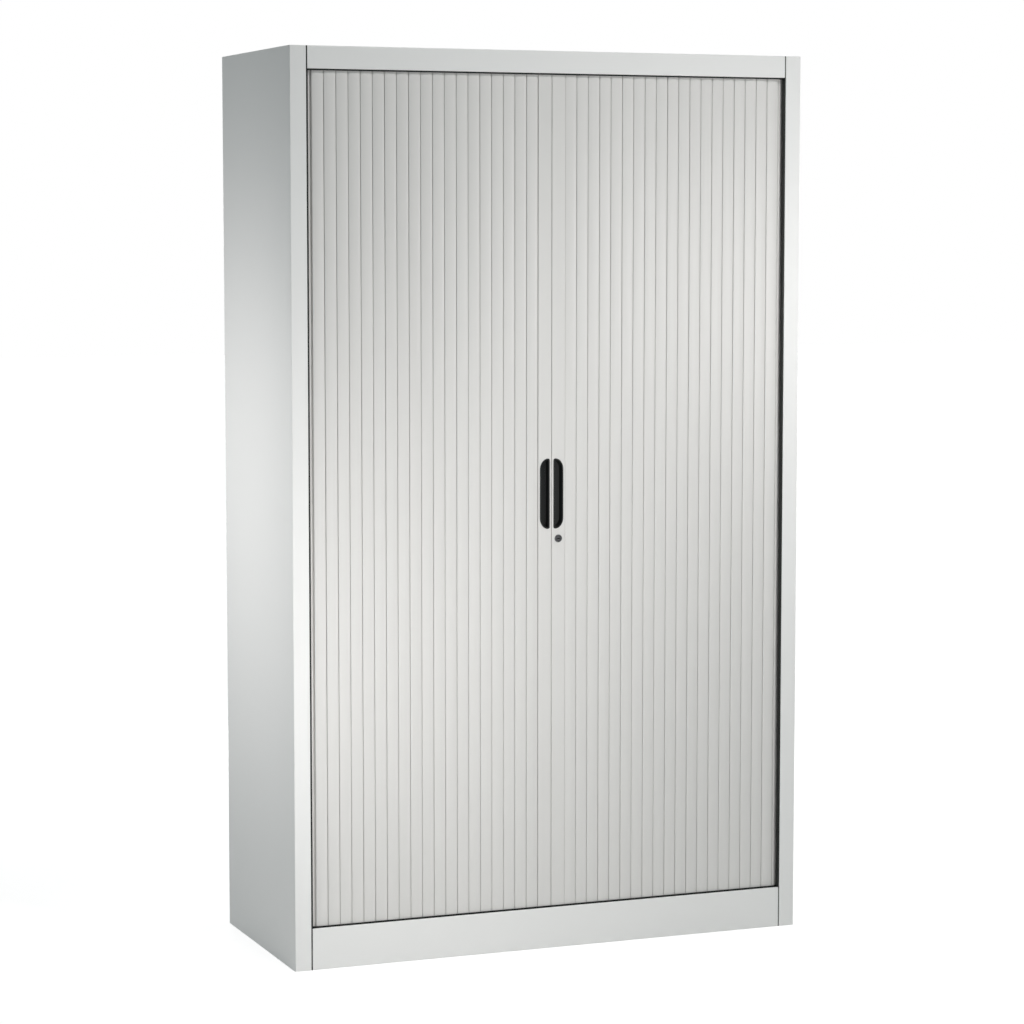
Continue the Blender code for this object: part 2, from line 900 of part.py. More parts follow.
def make_strike_plate():
    """Plate across the back of the left lead slat, with the slot that the beak enters."""
    far = lock_x + lead_outer_edge - strike_inset
    near = lock_x + lead_inner_edge + strike_inset
    beak_top = (hook_reach + hook_beak) * math.sin(hook_catch_turn)
    slot_top = beak_top + strike_play
    slot_far = hook_reach + hook_beak + strike_play
    slot_near = (hook_reach - strike_play) * math.cos(hook_catch_turn)
    tab_bottom = hook_arm_width / 2 + strike_drop
    offsets = [
        (far, -strike_leg),
        (far, strike_height),
        (near, strike_height),
        (near, tab_bottom),
        (slot_near, tab_bottom),
        (slot_near, slot_top),
        (slot_far, slot_top),
        (slot_far, -strike_leg),
    ]
    outline = [(lock_x - away, lock_middle + height) for away, height in offsets]
    seat = slat_back + clearance
    return prism("strike_plate", outline, "y", seat, seat + hook_thickness)


def make_door(side):
    """One door's stiff pieces, hung on a carrier at the meeting edge."""
    pieces = [*make_lead_slats(side), make_grip_carrier(side), make_grip(side)]
    pieces += make_glides(side)
    if side > 0:
        pieces += make_lock_barrel()
        lock = carrier("lock", (lock_x, slat_front, lock_middle))
        carry(lock, [make_lock_plug(), make_lock_hook()])
    else:
        pieces.append(make_strike_plate())
    place = (side * lead_inner_edge, slat_front, cabinet_height / 2)
    carry(carrier(side_name(side) + "_door", place), pieces)


def main():
    """Build the whole cabinet."""
    clear_scene()
    make_top_panel()
    make_deck()
    make_plinth()
    make_back_panels()
    make_shelves()
    make_clips()
    for side in (-1, 1):
        make_side_panel(side)
        make_liner(side)
        make_tracks(side)
        make_edge_seal(side)
        make_curtain(side)
        make_door(side)
    hinges = hinge_points()
    flat = sum(1 for point in hinges[1:] if point[0] <= corner_x)
    print(f"slats in each curtain: {len(hinges) - 1}, of which flat: {flat}")
    print(f"door travel: {corner_x - lead_outer_edge:.4f} m")
    print(f"clear opening: {2 * (corner_x - lead_width):.4f} m")


main()
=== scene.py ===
# %% [markdown]
# The object is a tall steel cupboard with two tambour doors. Each door is a curtain of narrow
# upright slats that slides sideways, turns round the corner and is stored along the side wall.
# The casing is folded sheet in light grey satin lacquer, the slats are light grey plastic, and
# the grips and the trim round the opening are black.
#
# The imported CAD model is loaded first. Its pieces are already in place, in metres, with +Z up
# and the doors facing -Y. This file gives every piece its finish, and makes anew the pieces
# whose real surface is finer than the CAD solid: the slats, the grips and the lock. Nothing
# else is changed, so that the looks agree with the measured model.

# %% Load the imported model
import json
import math
from functools import partial

import bpy
import numpy as np
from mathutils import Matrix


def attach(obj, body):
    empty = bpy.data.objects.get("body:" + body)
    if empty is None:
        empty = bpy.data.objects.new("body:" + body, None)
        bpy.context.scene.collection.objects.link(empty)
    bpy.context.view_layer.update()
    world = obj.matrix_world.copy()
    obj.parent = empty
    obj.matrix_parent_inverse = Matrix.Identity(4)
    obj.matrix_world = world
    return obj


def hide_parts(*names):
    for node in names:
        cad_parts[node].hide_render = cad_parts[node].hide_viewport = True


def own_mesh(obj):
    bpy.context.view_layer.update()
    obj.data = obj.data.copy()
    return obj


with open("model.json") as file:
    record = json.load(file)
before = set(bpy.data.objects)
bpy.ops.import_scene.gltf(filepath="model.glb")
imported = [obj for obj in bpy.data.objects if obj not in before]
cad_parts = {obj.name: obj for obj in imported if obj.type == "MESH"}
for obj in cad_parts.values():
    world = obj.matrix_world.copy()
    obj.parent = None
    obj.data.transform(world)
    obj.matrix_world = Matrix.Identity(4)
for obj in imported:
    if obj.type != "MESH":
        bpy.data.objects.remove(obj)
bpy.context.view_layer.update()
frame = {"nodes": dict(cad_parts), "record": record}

nodes = frame["nodes"]
print("cad pieces:", len(nodes))

# %% [markdown]
# The camera stands where the photographer's did. Six corners of the casing and the middle of
# the grips can be seen in the photograph, and their true places are known, so the camera's
# place, aim and lens are the ones that put these seven points on their pixels. They could be
# found by trial and error, one number at a time. A least-squares search is quicker and as good
# as it can be: it starts from a rough guess, measures how far each point is off, and corrects
# all six numbers at once.
#
# The photographer shifted the lens, so that the upright edges stay parallel. This camera has no
# shift, because it must frame the cabinet from any other side too, and a few pixels stay off.

# %% Known points in the photograph
half_width = 0.600
half_depth = 0.250
height = 1.980
grip_middle = (0, -0.241, 1.0155)
picture_width = 1024
sensor_width = 36.0

known_points = np.array(
    (
        (-half_width, -half_depth, height),
        (-half_width, -half_depth, 0),
        (half_width, -half_depth, height),
        (half_width, -half_depth, 0),
        (-half_width, half_depth, height),
        (-half_width, half_depth, 0),
        grip_middle,
    )
)
known_pixels = np.array(
    (
        (292.3, 46.9),
        (292.3, 977.6),
        (795.7, 56.2),
        (795.7, 925.3),
        (227.2, 55.2),
        (227.2, 919.9),
        (551.2, 490.0),
    )
)
print("points that place the camera:", len(known_points))

# %% What a camera sees
lens_unit = 1000


def camera_axes(heading, tilt):
    """Right, up and forward directions of a camera turned by heading and tilted.

    Forward is the sine and the cosine of the heading, times the tilt's cosine, and the tilt's
    sine upwards. Right is level and square to it, and up is their cross product.
    """
    forward = np.array(
        (
            math.sin(heading) * math.cos(tilt),
            math.cos(heading) * math.cos(tilt),
            math.sin(tilt),
        )
    )
    right = np.array((math.cos(heading), -math.sin(heading), 0))
    return right, np.cross(right, forward), forward


def seen_at(points, setting):
    """Pixels of points: each is its sideways and upward distance over its depth, times the lens.

    A setting is the camera's x, y, z, heading and tilt, and its lens in thousands of pixels.
    """
    right, up, forward = camera_axes(setting[3], setting[4])
    away = points - setting[:3]
    lens_pixels = setting[5] * lens_unit
    across = picture_width / 2 + lens_pixels * (away @ right) / (away @ forward)
    down = picture_width / 2 - lens_pixels * (away @ up) / (away @ forward)
    return np.column_stack((across, down))


def misses(setting):
    """How far each known point is seen from its pixel, across and down, in one row."""
    return (seen_at(known_points, setting) - known_pixels).ravel()


level_camera = np.array((0, 0, 0, 0, 0, 1))
point_ahead = np.array([(0, 1, 0)])
print("a point straight ahead is seen at", seen_at(point_ahead, level_camera)[0])

# %% Find the camera
first_guess = (-2.4, -6.2, 1.7, math.radians(21), math.radians(-6), 2.9)
search_rounds = 12
search_step = 1e-5

setting = np.array(first_guess)
for _ in range(search_rounds):
    error = misses(setting)
    nudges = search_step * np.eye(len(setting))
    nudged = np.array([misses(setting + nudge) for nudge in nudges])
    slope = (nudged - error).T / search_step
    setting = setting - np.linalg.lstsq(slope, error, rcond=None)[0]
print("camera at", np.round(setting[:3], 3))
print("points off by px", np.round(misses(setting).reshape(-1, 2), 1).tolist())

# %% Place the camera
camera_data = bpy.data.cameras.new("camera")
camera_data.sensor_width = sensor_width
camera_data.lens = setting[5] * lens_unit / picture_width * sensor_width
camera = bpy.data.objects.new("camera", camera_data)
camera.location = setting[:3]
camera.rotation_euler = (math.pi / 2 + setting[4], 0, -setting[3])
bpy.context.scene.collection.objects.link(camera)
bpy.context.scene.camera = camera
bpy.context.scene.view_settings.view_transform = "Standard"
print("lens", round(camera_data.lens, 1), "mm")

# %% [markdown]
# The cabinet stands on a wide pale floor in a white studio. What the camera sees of the floor
# and the world is white, and only the shadow at the cabinet's foot is darker. If a white floor
# and a white room also lit the cabinet, it would lose all its shading. So the light comes from
# an ordinary pale matt floor and a dim room instead. Light Path tells the rays from the camera,
# and those that metal mirrors, from the rays that carry light.

# %% Node helpers
white = (1, 1, 1, 1)


def start_nodes(tree):
    """Empty a node tree and give back a function that adds a node and sets its inputs."""
    tree.nodes.clear()

    def add(kind, settings=None, **inputs):
        """Add a node. An input goes by its label, with _ for a space, or its number, as i0.

        An input whose value is another node's output is linked to it, and any other is set.
        """
        node = tree.nodes.new(kind)
        for name, value in (settings or {}).items():
            setattr(node, name, value)
        for name, value in inputs.items():
            numbered = name[0] == "i" and name[1:].isdigit()
            socket = node.inputs[int(name[1:]) if numbered else name.replace("_", " ")]
            if isinstance(value, bpy.types.NodeSocket):
                tree.links.new(value, socket)
            else:
                socket.default_value = value
        return node

    return add


def calculate(add, operation, one, other):
    """One number from two, by an operation such as ADD, MULTIPLY or MAXIMUM."""
    return add("ShaderNodeMath", {"operation": operation}, i0=one, i1=other).outputs[0]


def show_instead(add, lighting, seen):
    """Mix two shaders: the first gives light, and the second is what is seen.

    The share of the second is one for rays from the camera, from a mirror and through glass.
    """
    path = add("ShaderNodeLightPath").outputs
    share = calculate(add, "MAXIMUM", path["Is Camera Ray"], path["Is Glossy Ray"])
    share = calculate(add, "MAXIMUM", share, path["Is Transmission Ray"])
    mix = add("ShaderNodeMixShader", i0=share, i1=lighting.outputs[0], i2=seen.outputs[0])
    return mix.outputs[0]


print("node helpers ready")

# %% Floor
floor_size = 60.0
floor_near = 1.0
floor_far = 3.5
floor_glow_near = 0.80
floor_glow_far = 1.0
floor_seen_colour = (0.42, 0.42, 0.42, 1)
floor_light_colour = (0.80, 0.80, 0.79, 1)

edge = floor_size / 2
floor_corners = [(-edge, -edge, 0), (edge, -edge, 0), (edge, edge, 0), (-edge, edge, 0)]
floor_mesh = bpy.data.meshes.new("floor")
floor_mesh.from_pydata(floor_corners, [], [(0, 1, 2, 3)])
floor = bpy.data.objects.new("floor", floor_mesh)
bpy.context.scene.collection.objects.link(floor)

floor_finish = bpy.data.materials.new("studio_floor")
floor_finish.use_nodes = True
add = start_nodes(floor_finish.node_tree)
place = add("ShaderNodeTexCoord").outputs["Object"]
away = add("ShaderNodeVectorMath", {"operation": "LENGTH"}, i0=place).outputs["Value"]
strength = add(
    "ShaderNodeMapRange",
    {"interpolation_type": "SMOOTHSTEP"},
    Value=away,
    From_Min=floor_near,
    From_Max=floor_far,
    To_Min=floor_glow_near,
    To_Max=floor_glow_far,
)
glow = add("ShaderNodeEmission", Color=white, Strength=strength.outputs[0])
matt = add("ShaderNodeBsdfDiffuse", Color=floor_seen_colour)
seen = add("ShaderNodeAddShader", i0=glow.outputs[0], i1=matt.outputs[0])
lighting = add("ShaderNodeBsdfDiffuse", Color=floor_light_colour)
add("ShaderNodeOutputMaterial", Surface=show_instead(add, lighting, seen))
floor_mesh.materials.append(floor_finish)
print("floor", floor_size, "m wide")

# %% World
ambient_light = 0.105
ambient_colour = (0.66, 0.96, 1.00, 1)

world = bpy.data.worlds.new("studio")
bpy.context.scene.world = world
world.use_nodes = True
add = start_nodes(world.node_tree)
ambient = add("ShaderNodeBackground", Color=ambient_colour, Strength=ambient_light)
background = add("ShaderNodeBackground", Color=white, Strength=1.0)
add("ShaderNodeOutputWorld", Surface=show_instead(add, ambient, background))
print("ambient light", ambient_light)

# %% [markdown]
# The lamps are soft panels, as in a studio. The key lamp is far off, high and to the right, and
# gives the doors most of their light. On the photographed doors a bright band runs from the
# lower left to the upper right, and the side is brightest half way up. So three weak panels
# stand close to the doors, from low on the left to higher up on the right, a fourth one farther
# off fills in, and two stand beside the left side, one above the other. Two panels behind light
# the back and the right side, and a weak one overhead lights the roof. Both rear panels stay
# below the roof, because lacquer that is seen at a low angle mirrors a lamp behind it and would
# turn white.
#
# One large lamp and a bright room would be simpler, but give every face one even tone. The
# powers were set by comparing the same spots in the photograph and in the render.

# %% Lamps
lamp_colour = (1.000, 0.975, 0.962)
# place, target, size across and up, and power in watts
lamps = {
    "key_panel": ((1.2, -3.6, 5.2), (0.1, -0.25, 1.4), (0.6, 0.6), 106.0),
    "right_panel": ((0.75, -1.1, 1.45), (0.45, -0.25, 1.4), (0.5, 0.5), 3.3),
    "left_low_panel": ((-0.6, -1.0, 0.55), (-0.4, -0.25, 0.6), (0.5, 0.5), 2.5),
    "left_panel": ((-0.5, -1.1, 1.0), (-0.2, -0.25, 1.0), (0.5, 0.5), 1.6),
    "front_panel": ((0.1, -2.0, 1.0), (0.1, -0.25, 1.0), (1.0, 1.0), 4.8),
    "side_panel": ((-1.2, 0.1, 1.22), (-0.6, 0.1, 1.22), (0.8, 0.5), 2.6),
    "side_low_panel": ((-1.2, 0.1, 0.75), (-0.6, 0.1, 0.75), (0.8, 0.4), 1.6),
    "right_rear_panel": ((2.6, 0.6, 1.2), (0.6, 0.0, 1.0), (1.4, 1.4), 24.0),
    "rear_panel": ((0.0, 3.0, 1.0), (0.0, 0.25, 1.0), (1.0, 1.6), 36.0),
    "overhead_panel": ((0.0, 0.2, 4.2), (0.0, 0.1, 1.98), (1.8, 1.4), 5.0),
}


def soft_lamp(name, place, target, size, power):
    """A rectangular lamp that faces its target, turned by the angles of the line to it."""
    data = bpy.data.lights.new(name, "AREA")
    data.color = lamp_colour
    data.shape = "RECTANGLE"
    data.size, data.size_y = size
    data.energy = power
    lamp = bpy.data.objects.new(name, data)
    away = np.subtract(target, place)
    climb = math.atan2(away[2], math.hypot(away[0], away[1]))
    lamp.location = place
    lamp.rotation_euler = (math.pi / 2 + climb, 0, math.atan2(-away[0], away[1]))
    lamp.visible_camera = False
    bpy.context.scene.collection.objects.link(lamp)


for name, values in lamps.items():
    soft_lamp(name, *values)
print("lamps:", ", ".join(lamps))

# %% [markdown]
# Each finish is a small recipe of nodes on a Principled shader. The pattern reads Object
# coordinates, which are metres on the cabinet. So a grain has its real size, and doesn't
# stretch or repeat, as a picture laid over the pieces would. Noise gives a value that wanders
# between 0 and 1. It moves the colour and the gloss a little to each side, and a Bump node turns
# it into fine unevenness.
#
# In the recipes a grain is its cells in a metre, its detail and, for some, its stretch. A tone
# or roughness is the lowest and highest value, and a bump its strength and depth in metres.

# %% Finish helpers
def start_finish(name):
    """A new material, the function that adds its nodes, and Object coordinates in metres."""
    material = bpy.data.materials.new(name)
    material.use_nodes = True
    add = start_nodes(material.node_tree)
    return material, add, add("ShaderNodeTexCoord").outputs["Object"]


def finish_surface(add, **inputs):
    """Make a Principled shader with these inputs the material's surface."""
    shader = add("ShaderNodeBsdfPrincipled", **inputs)
    add("ShaderNodeOutputMaterial", Surface=shader.outputs[0])


def grain(add, place, cells, detail, stretch=(1, 1, 1)):
    """Noise, stretched along an axis where its factor is small."""
    mapped = add("ShaderNodeMapping", Vector=place, Scale=stretch)
    noise = add("ShaderNodeTexNoise", Vector=mapped.outputs[0], Scale=cells, Detail=detail)
    return noise.outputs[0]


def between(add, value, low, high):
    """Stretch a value of 0 to 1 to low to high."""
    return add("ShaderNodeMapRange", Value=value, To_Min=low, To_Max=high).outputs[0]


def tinted(add, colour, amount):
    """A colour times one number."""
    multiply = {"data_type": "RGBA", "blend_type": "MULTIPLY"}
    return add("ShaderNodeMix", multiply, i0=1.0, i6=colour, i7=amount).outputs[2]


def bumped(add, height, strength, depth, **normal):
    """The surface's direction where a height rises and falls, on top of a normal if given."""
    bump = add("ShaderNodeBump", Strength=strength, Distance=depth, Height=height, **normal)
    return bump.outputs[0]


print("finish helpers ready")

# %% Lacquered steel
lacquer_colour = (0.840, 0.843, 0.838, 1)
lacquer_specular = 0.35
lacquer_roughness = (0.30, 0.42)
peel_grain = (260, 3)
peel_bump = (0.10, 0.0004)
dust_grain = (1500, 2)
dust_tone = (0.965, 1.035)
dust_bump = (0.06, 0.0001)
drift_grain = (2.5, 2)
drift_tone = (0.985, 1.015)


def make_lacquer():
    """Satin grey stoving lacquer: orange peel of a few millimetres and a fine dusty grain."""
    material, add, place = start_finish("steel_lacquer")
    peel = grain(add, place, *peel_grain)
    dust = grain(add, place, *dust_grain)
    drift = grain(add, place, *drift_grain)
    tone = calculate(
        add, "MULTIPLY", between(add, dust, *dust_tone), between(add, drift, *drift_tone)
    )
    uneven = bumped(add, peel, *peel_bump)
    finish_surface(
        add,
        Base_Color=tinted(add, lacquer_colour, tone),
        Roughness=between(add, peel, *lacquer_roughness),
        Normal=bumped(add, dust, *dust_bump, Normal=uneven),
        Specular_IOR_Level=lacquer_specular,
    )
    return material


lacquer = make_lacquer()
print(lacquer.name, lacquer_colour[:3])

# %% Slat plastic
slat_colour = (0.692, 0.686, 0.673, 1)
slat_roughness = (0.36, 0.46)
line_grain = (900, 3, (1, 1, 0.004))
line_tone = (-0.015, 0.015)
line_bump = (0.12, 0.0001)
cloud_grain = (30, 3, (1, 1, 0.2))
cloud_tone = (0.985, 1.015)


def make_slat_plastic():
    """Extruded plastic: faint draw lines along the slat, and each slat a shade of its own."""
    material, add, place = start_finish("slat_plastic")
    lines = grain(add, place, *line_grain)
    cloud = grain(add, place, *cloud_grain)
    shade = add("ShaderNodeAttribute", {"attribute_name": "slat_shade"}).outputs["Fac"]
    tone = calculate(
        add, "ADD", between(add, lines, *line_tone), between(add, cloud, *cloud_tone)
    )
    tone = calculate(add, "ADD", tone, shade)
    finish_surface(
        add,
        Base_Color=tinted(add, slat_colour, tone),
        Roughness=between(add, cloud, *slat_roughness),
        Normal=bumped(add, lines, *line_bump),
    )
    return material


slat_plastic = make_slat_plastic()
print(slat_plastic.name, slat_colour[:3])

# %% Black plastic
black_colour = (0.0085, 0.0100, 0.0100, 1)
black_specular = 0.22
black_roughness = (0.36, 0.52)
black_grain = (60, 3)
black_tone = (0.8, 1.3)
pit_grain = (2200, 2)
pit_bump = (0.25, 0.0001)


def make_black_plastic():
    """Moulded black plastic with a fine spark-eroded grain."""
    material, add, place = start_finish("black_plastic")
    pits = grain(add, place, *pit_grain)
    cloud = grain(add, place, *black_grain)
    finish_surface(
        add,
        Base_Color=tinted(add, black_colour, between(add, cloud, *black_tone)),
        Roughness=between(add, pits, *black_roughness),
        Normal=bumped(add, pits, *pit_bump),
        Specular_IOR_Level=black_specular,
    )
    return material


black_plastic = make_black_plastic()
print(black_plastic.name, black_colour[:3])

# %% Zinc and nickel
zinc_colour = (0.55, 0.56, 0.57, 1)
zinc_grain = (140, 4)
zinc_roughness = (0.28, 0.48)
nickel_colour = (0.078, 0.079, 0.082, 1)
nickel_grain = (900, 4, (1, 0.05, 1))
nickel_roughness = (0.16, 0.30)
patch_tone = (0.85, 1.12)
patch_bump = (0.08, 0.0001)
# colour factors from lit metal to the painted shade on the keyhole's walls
lit_to_painted_shade = (1.0, 0.05)


def make_metal(name, colour, patch_grain, roughness):
    """Plated steel: its gloss and tone wander over patches of the plating's own size.

    Where the piece's hole_shade is one, on the keyhole's walls, the metal is painted near
    black: painted shade for the dark inside of the hole.
    """
    material, add, place = start_finish(name)
    patches = grain(add, place, *patch_grain)
    # hole_shade marks the keyhole's walls, which get painted shade
    keyhole_painted_shade = add("ShaderNodeAttribute", {"attribute_name": "hole_shade"}).outputs["Fac"]
    tone = calculate(
        add,
        "MULTIPLY",
        between(add, patches, *patch_tone),
        between(add, keyhole_painted_shade, *lit_to_painted_shade),
    )
    finish_surface(
        add,
        Base_Color=tinted(add, colour, tone),
        Metallic=1.0,
        Roughness=between(add, patches, *roughness),
        Normal=bumped(add, patches, *patch_bump),
    )
    return material


zinc = make_metal("zinc_steel", zinc_colour, zinc_grain, zinc_roughness)
nickel = make_metal("lock_nickel", nickel_colour, nickel_grain, nickel_roughness)
print(zinc.name, nickel.name)

# %% [markdown]
# The casing, the shelves and the tracks are folded sheet and extruded profiles, with sharp flat
# faces, and the CAD model already has that shape. They could be modelled again with rounded
# bends, but a bend in sheet of one millimetre is smaller than a pixel here. So these pieces keep
# their shape, and every CAD node gets the finish of the material slot that its record names.

# %% Finish the CAD pieces
finishes = {
    "steel_lacquer": lacquer,
    "slat_plastic": slat_plastic,
    "black_plastic": black_plastic,
    "zinc_steel": zinc,
    "lock_metal": nickel,
}
for part in frame["record"]["subparts"]:
    piece = nodes[part["node"]]
    piece.data.materials.clear()
    piece.data.materials.append(finishes[part["material_slot"]])

# %% [markdown]
# All the new pieces are made in one way. A surface is a grid of points: rings one after another,
# each with the same number of points. Joining each point with its neighbours gives the faces. A
# flat cap at each end closes the shell, or the last ring joins the first. Such a shell is always
# closed, its faces are even, and numpy works out all its points at once.

# %% Shell helpers
door_names = {-1: "left", 1: "right"}


def signed_volume(mesh):
    """Sum over all triangles of a . (b x c) / 6, which is positive when faces point outwards."""
    mesh.calc_loop_triangles()
    corners = np.zeros(len(mesh.loop_triangles) * 3, dtype=np.int32)
    mesh.loop_triangles.foreach_get("vertices", corners)
    points = np.zeros(len(mesh.vertices) * 3)
    mesh.vertices.foreach_get("co", points)
    a, b, c = points.reshape(-1, 3)[corners.reshape(-1, 3)].transpose(1, 0, 2)
    return float(np.einsum("ij,ij->i", a, np.cross(b, c)).sum() / 6)


def shell(name, rings, body, slot, closed=False):
    """Join rings of points, an array of (ring, point, xyz), into a closed shell on one body.

    Face k of ring r takes points k and k+1 of rings r and r+1. With closed, the last ring joins
    the first. Without it, the two end rings are capped.
    """
    ring_count, size = rings.shape[:2]
    index = np.arange(ring_count * size).reshape(ring_count, size)
    caps = [] if closed else [index[0][::-1].tolist(), index[-1].tolist()]
    if closed:
        index = np.concatenate((index, index[:1]))
    turned = np.roll(index, -1, axis=1)
    quads = np.stack((index[:-1], turned[:-1], turned[1:], index[1:]), axis=-1).reshape(-1, 4)
    mesh = bpy.data.meshes.new(name)
    mesh.from_pydata(rings.reshape(-1, 3).tolist(), [], quads.tolist() + caps)
    mesh.update()
    if signed_volume(mesh) < 0:
        mesh.flip_normals()
    piece = bpy.data.objects.new(name, mesh)
    bpy.context.scene.collection.objects.link(piece)
    mesh.materials.append(finishes[slot])
    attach(piece, body)
    return piece


def smooth(piece, sharp_degrees):
    """Smooth shading, broken at edges that turn by more than this many degrees."""
    piece.data.shade_smooth()
    piece.data.set_sharp_from_angle(angle=math.radians(sharp_degrees))


print("doors:", ", ".join(door_names.values()))

# %% [markdown]
# A tambour curtain is a row of extruded slats, each hooked into the next at the back so that it
# can turn a corner. From the front one sees softly rounded strips with a dark groove between
# them. In use they settle a little askew, every second one tipped the other way, which gives
# the door its alternating light and shade.
#
# The curtain follows the hinge line: straight behind the opening, a quarter circle into the
# side, then straight on. Each slat is one straight chord of that line. It could be made of
# single slats, placed one after another. Here the profile of one slat is worked out once, across
# and outward, and laid along every chord at once, so that a row of slats is one closed shell.
# The real slats run on round the corner as a door opens. Here the straight row is one shell with
# a mesh of its own, and the row that turns the corner is a shell of its own and stays.

# %% Sizes of the curtain
clearance = 0.0003
slat_face = -0.241
slat_pitch = 0.0272
slat_depth = 0.0085
slat_crown = 0.0016
slat_round = 0.0009
slat_web = 0.0010
slat_groove = 0.0009
flat_slats = 19
curtain_start = 0.0320
curtain_bottom = 0.0736
curtain_top = 1.9657
hinge_line = -0.2325
hinge_radius = 0.0365
corner_x = 0.540
corner_length = hinge_radius * math.pi / 2
tail_length = 0.070
fine_step = 0.00002
print("a curtain is", round(curtain_top - curtain_bottom, 4), "m high")


# %% Hinges
def hinge_place(length):
    """Point of the hinge line at a length from the middle: straight, quarter circle, straight."""
    turn = np.clip((length - corner_x) / hinge_radius, 0, math.pi / 2)
    past = np.maximum(length - corner_x - corner_length, 0)
    x = np.minimum(length, corner_x) + hinge_radius * np.sin(turn)
    y = hinge_line + hinge_radius * (1 - np.cos(turn)) + past
    return np.stack((x, y), axis=-1)


def hinge_chain():
    """Hinges one slat pitch apart: from each, the next is the nearest point that far along."""
    fine = np.arange(0, corner_x + corner_length + 2 * tail_length, fine_step)
    line = hinge_place(fine)
    at = np.searchsorted(fine, curtain_start)
    chain = [line[at]]
    last = corner_x + corner_length + tail_length
    while fine[at] < last:
        reach = np.linalg.norm(line[at:] - line[at], axis=1)
        at += int(np.argmax(reach >= slat_pitch))
        chain.append(line[at])
    return np.array(chain)


hinges = hinge_chain()
print("slats in a curtain:", len(hinges) - 1)

# %% Profile of a slat
points_across = 21
lean_angle = math.radians(1.2)
lean_change = 0.35
change_per_metre = 1.9
change_per_slat = 2.4
own_angle = math.radians(0.4)
own_per_slat = 7.3
own_start = 1.0


def slat_profile():
    """Across and outward sizes of one slat's face.

    The crown falls with the square of the distance from the middle. Near each side the face
    also drops by a quarter circle.
    """
    half_face = (slat_pitch - slat_groove) / 2
    off_middle = -np.cos(np.linspace(0, math.pi, points_across))
    from_edge = (1 - np.abs(off_middle)) * half_face
    into_round = np.clip(1 - from_edge / slat_round, 0, 1)
    drop = slat_crown * off_middle**2 + slat_round * (1 - np.sqrt(1 - into_round**2))
    return slat_pitch / 2 + off_middle * half_face, slat_depth - drop


def slat_tilts(numbers, heights):
    """Tilt of each slat at each height.

    Every second slat leans the other way. The lean grows and shrinks as a sine of the height
    and the slat's number, and each slat has a small angle of its own, a sine of its number.
    """
    lean = lean_angle * (-1.0) ** numbers
    wave = np.sin(change_per_metre * heights[:, None] + change_per_slat * numbers)
    own = own_angle * np.sin(own_per_slat * numbers + own_start)
    return lean * (1 + lean_change * wave) + own


def tilted_profile(numbers, heights):
    """Across and outward sizes of every slat at every height, tilted about its own middle.

    A point at (a, b) from the middle goes to (a cos - b sin, a sin + b cos). A point more at
    each end leads down into the groove beside the slat.
    """
    across, outward = slat_profile()
    tilt = slat_tilts(numbers, heights)[:, :, None]
    a = across - slat_pitch / 2
    b = outward - slat_depth / 2
    across = slat_pitch / 2 + a * np.cos(tilt) - b * np.sin(tilt)
    outward = slat_depth / 2 + a * np.sin(tilt) + b * np.cos(tilt)
    groove = np.full(tilt.shape, slat_groove / 2)
    web = np.full(tilt.shape, slat_web)
    across = np.concatenate((groove, across, slat_pitch - groove), axis=-1)
    outward = np.concatenate((web, outward, web), axis=-1)
    return across[..., None], outward[..., None]


print("a slat's face is", round(float(np.ptp(slat_profile()[0])), 4), "m wide")


# %% Rings of a curtain
def curtain_rings(chain, numbers, heights, side):
    """Closed rings of points up the curtain, from the hinges of some of its slats.

    A face point is the slat's first hinge, plus across times the slat's direction, plus outward
    times its normal. The hinges, taken backwards, are the back of each ring.
    """
    along = np.diff(chain, axis=0) / slat_pitch
    normal = np.stack((along[:, 1], -along[:, 0]), axis=-1)
    across, outward = tilted_profile(numbers, heights)
    front = chain[:-1][None, :, None] + across * along[None, :, None]
    front = front + outward * normal[None, :, None]
    front = front.reshape(len(heights), -1, 2)
    back = np.broadcast_to(chain[::-1], (len(heights), len(chain), 2))
    flat = np.concatenate((front, back), axis=1)
    up = np.broadcast_to(heights[:, None, None], flat.shape[:2] + (1,))
    return np.concatenate((flat * (side, 1), up), axis=-1)


rows_up = 33
ring_heights = np.linspace(curtain_bottom, curtain_top, rows_up)
print("rings up a curtain:", rows_up)

# %% Build the curtains
shade_step = 0.012
shade_per_slat = 12.9898


def paint_slats(piece, slat_count, chain_size):
    """Give every point the shade of its slat, a sine of the slat's number, as an attribute."""
    shades = shade_step * np.sin(shade_per_slat * np.arange(slat_count))
    ring = np.concatenate((np.repeat(shades, points_across + 2), np.zeros(chain_size)))
    values = np.tile(ring, rows_up).astype(np.float32)
    layer = piece.data.attributes.new("slat_shade", "FLOAT", "POINT")
    layer.data.foreach_set("value", values)


def make_curtain(side, name, first, last):
    """The slats from first to last of one door's curtain, as one shell."""
    chain = hinges[first : last + 1]
    numbers = np.arange(first, last)
    rings = curtain_rings(chain, numbers, ring_heights, side)
    door = door_names[side]
    curtain = shell(f"{door}_{name}", rings, "cabinet", "slat_plastic")
    paint_slats(curtain, len(numbers), len(chain))
    smooth(curtain, sharp_degrees=35)
    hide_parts(f"{door}_curtain")
    print(curtain.name, "made, slats:", len(numbers))
    return curtain


def squash_curtain(curtain):
    """Give the curtain a mesh of its own, a copy of the one it was made with.
    """
    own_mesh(curtain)


for side in door_names:
    squash_curtain(make_curtain(side, "flat_slats", 0, flat_slats))
    make_curtain(side, "corner_slats", flat_slats, len(hinges) - 1)

